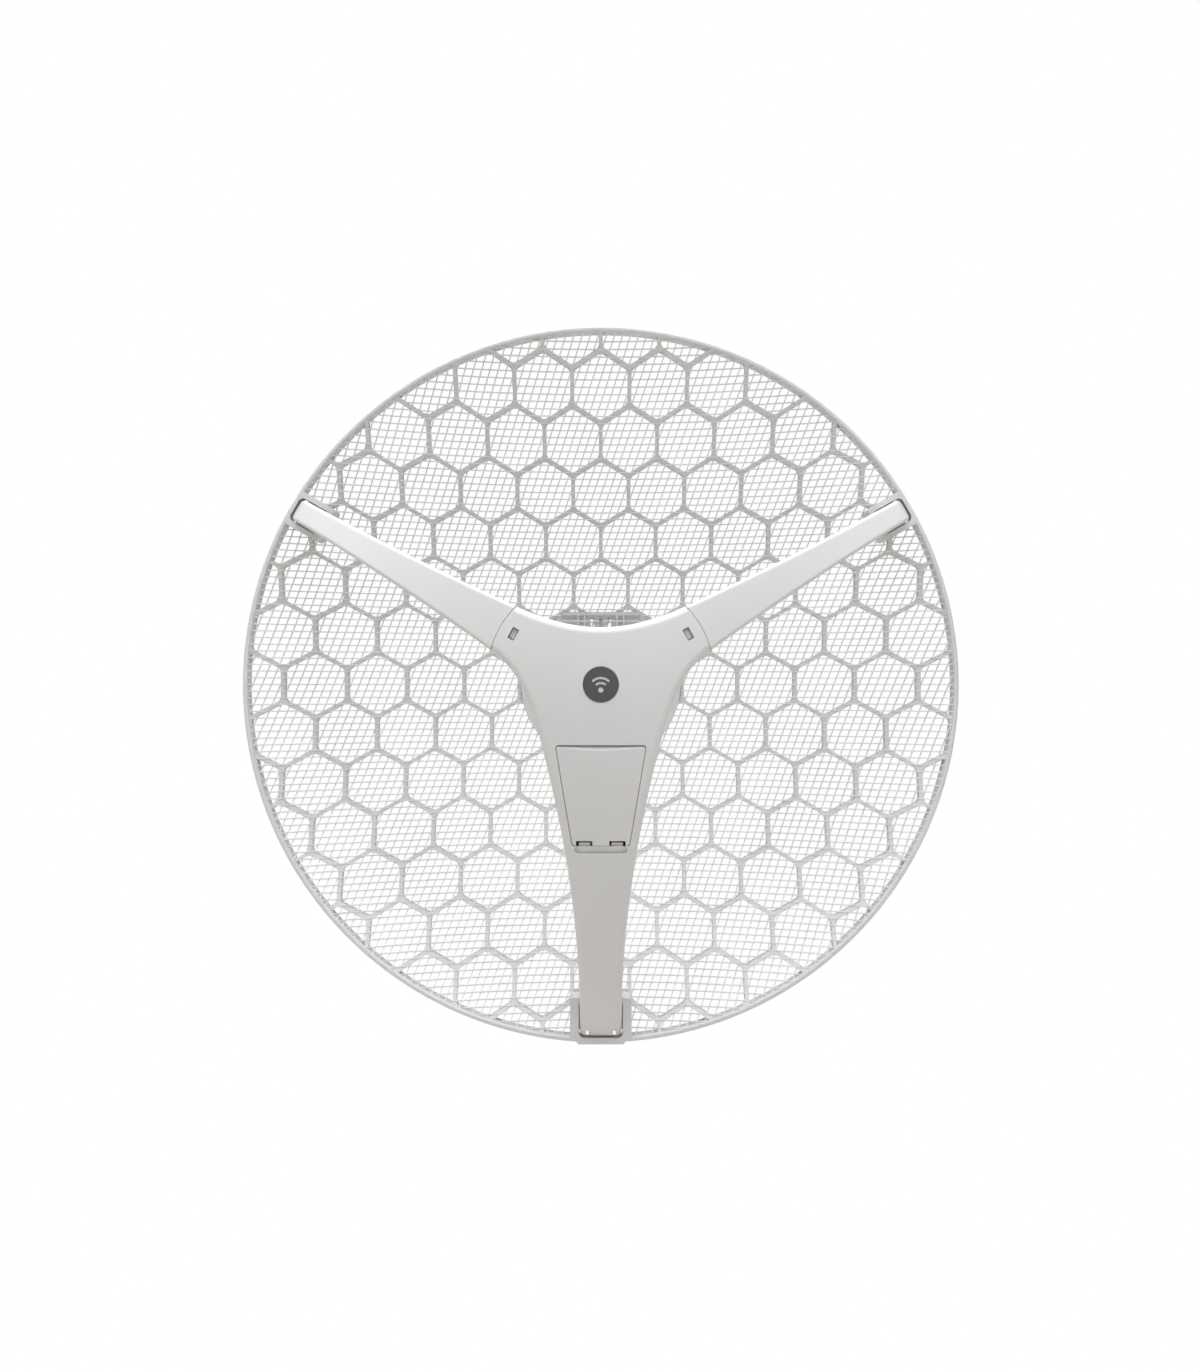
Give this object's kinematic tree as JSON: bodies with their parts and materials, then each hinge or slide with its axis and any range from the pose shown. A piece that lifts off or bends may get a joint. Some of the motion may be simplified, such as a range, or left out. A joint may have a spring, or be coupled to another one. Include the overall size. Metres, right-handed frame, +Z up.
{
  "type": "parabolic grid antenna",
  "caption": "Parabolic hexagon-grid reflector with a three-armed front radio unit, a hinged port door and a tilting mast clamp mount.",
  "frame": {"origin": "on the mast's axis, at the height of the beam axis", "axes": "+Z up along the mast, -Y along the beam, +X to the right seen from the front"},
  "size_m": [0.391, 0.2568, 0.3919],
  "materials": {
    "grid_plastic": "satin",
    "white_plastic": "satin",
    "inner_plastic": "matt",
    "badge_plastic": "satin",
    "coated_wire": "satin",
    "seal_rubber": "matt",
    "circuit_board": "lacquered",
    "tinned_steel": "bright",
    "chip_plastic": "matt",
    "feed_brass": "bright",
    "gold_contacts": "bright",
    "lamp_lens": "clear",
    "clear_plastic": "clear",
    "bracket_steel": "powder coated",
    "bracket_plastic": "satin",
    "stainless": "brushed",
    "zinc_steel": "zinc plated"
  },
  "bodies": {
    "mast_mount": {"mast_bracket": "bracket_plastic", "pivot_bolt": "zinc_steel", "pivot_washers": "zinc_steel", "pivot_nut": "zinc_steel", "clamp_band": "stainless", "clamp_housing": "stainless"},
    "antenna": {"grid_frame": "grid_plastic", "mesh_wires_level": "coated_wire", "mesh_wires_slanted": "coated_wire", "hub_front_cover": "white_plastic", "hub_rear_cover": "white_plastic", "cover_seal": "seal_rubber", "badge": "badge_plastic", "left_side_arm": "white_plastic", "right_side_arm": "white_plastic", "main_board": "circuit_board", "shield_can": "tinned_steel", "board_chips": "chip_plastic", "feed_patch": "feed_brass", "feed_spacers": "inner_plastic", "feed_probes": "feed_brass", "ethernet_jack": "tinned_steel", "jack_contacts": "gold_contacts", "port_surround": "inner_plastic", "status_lamps": "lamp_lens", "light_guide": "clear_plastic", "reset_switch": "chip_plastic", "board_screws": "zinc_steel", "cover_screws": "zinc_steel", "cable_grommet": "seal_rubber", "dish_bracket": "bracket_steel", "bracket_screws": "zinc_steel", "lock_bolt": "zinc_steel", "lock_washers": "zinc_steel"},
    "wing_nut": {"wing_nut": "zinc_steel"},
    "clamp_worm": {"clamp_screw": "zinc_steel"},
    "door": {"port_door": "white_plastic"},
    "button": {"reset_button": "inner_plastic"}
  },
  "joints": [
    {"name": "elevation_tilt", "type": "hinge", "parent": "mast_mount", "child": "antenna", "pos_m": [0, -0.04, 0], "axis": [-1, 0, 0], "range_deg": [-15, 15]},
    {"name": "port_door_swing", "type": "hinge", "parent": "antenna", "child": "door", "pos_m": [0, -0.22327, -0.0324], "axis": [-1, 0, 0], "range_deg": [0, 95]},
    {"name": "reset_button_press", "type": "slide", "parent": "antenna", "child": "button", "axis": [0, 1, 0], "range_m": [0, 0.0005]},
    {"name": "wing_nut_turn", "type": "hinge", "parent": "antenna", "child": "wing_nut", "pos_m": [0.02, -0.04, 0.02], "axis": [1, 0, 0], "continuous": true},
    {"name": "clamp_screw_turn", "type": "hinge", "parent": "mast_mount", "child": "clamp_worm", "pos_m": [0.02711, 0.01565, 0], "axis": [-0.5, 0.866, 0], "continuous": true}
  ]
}
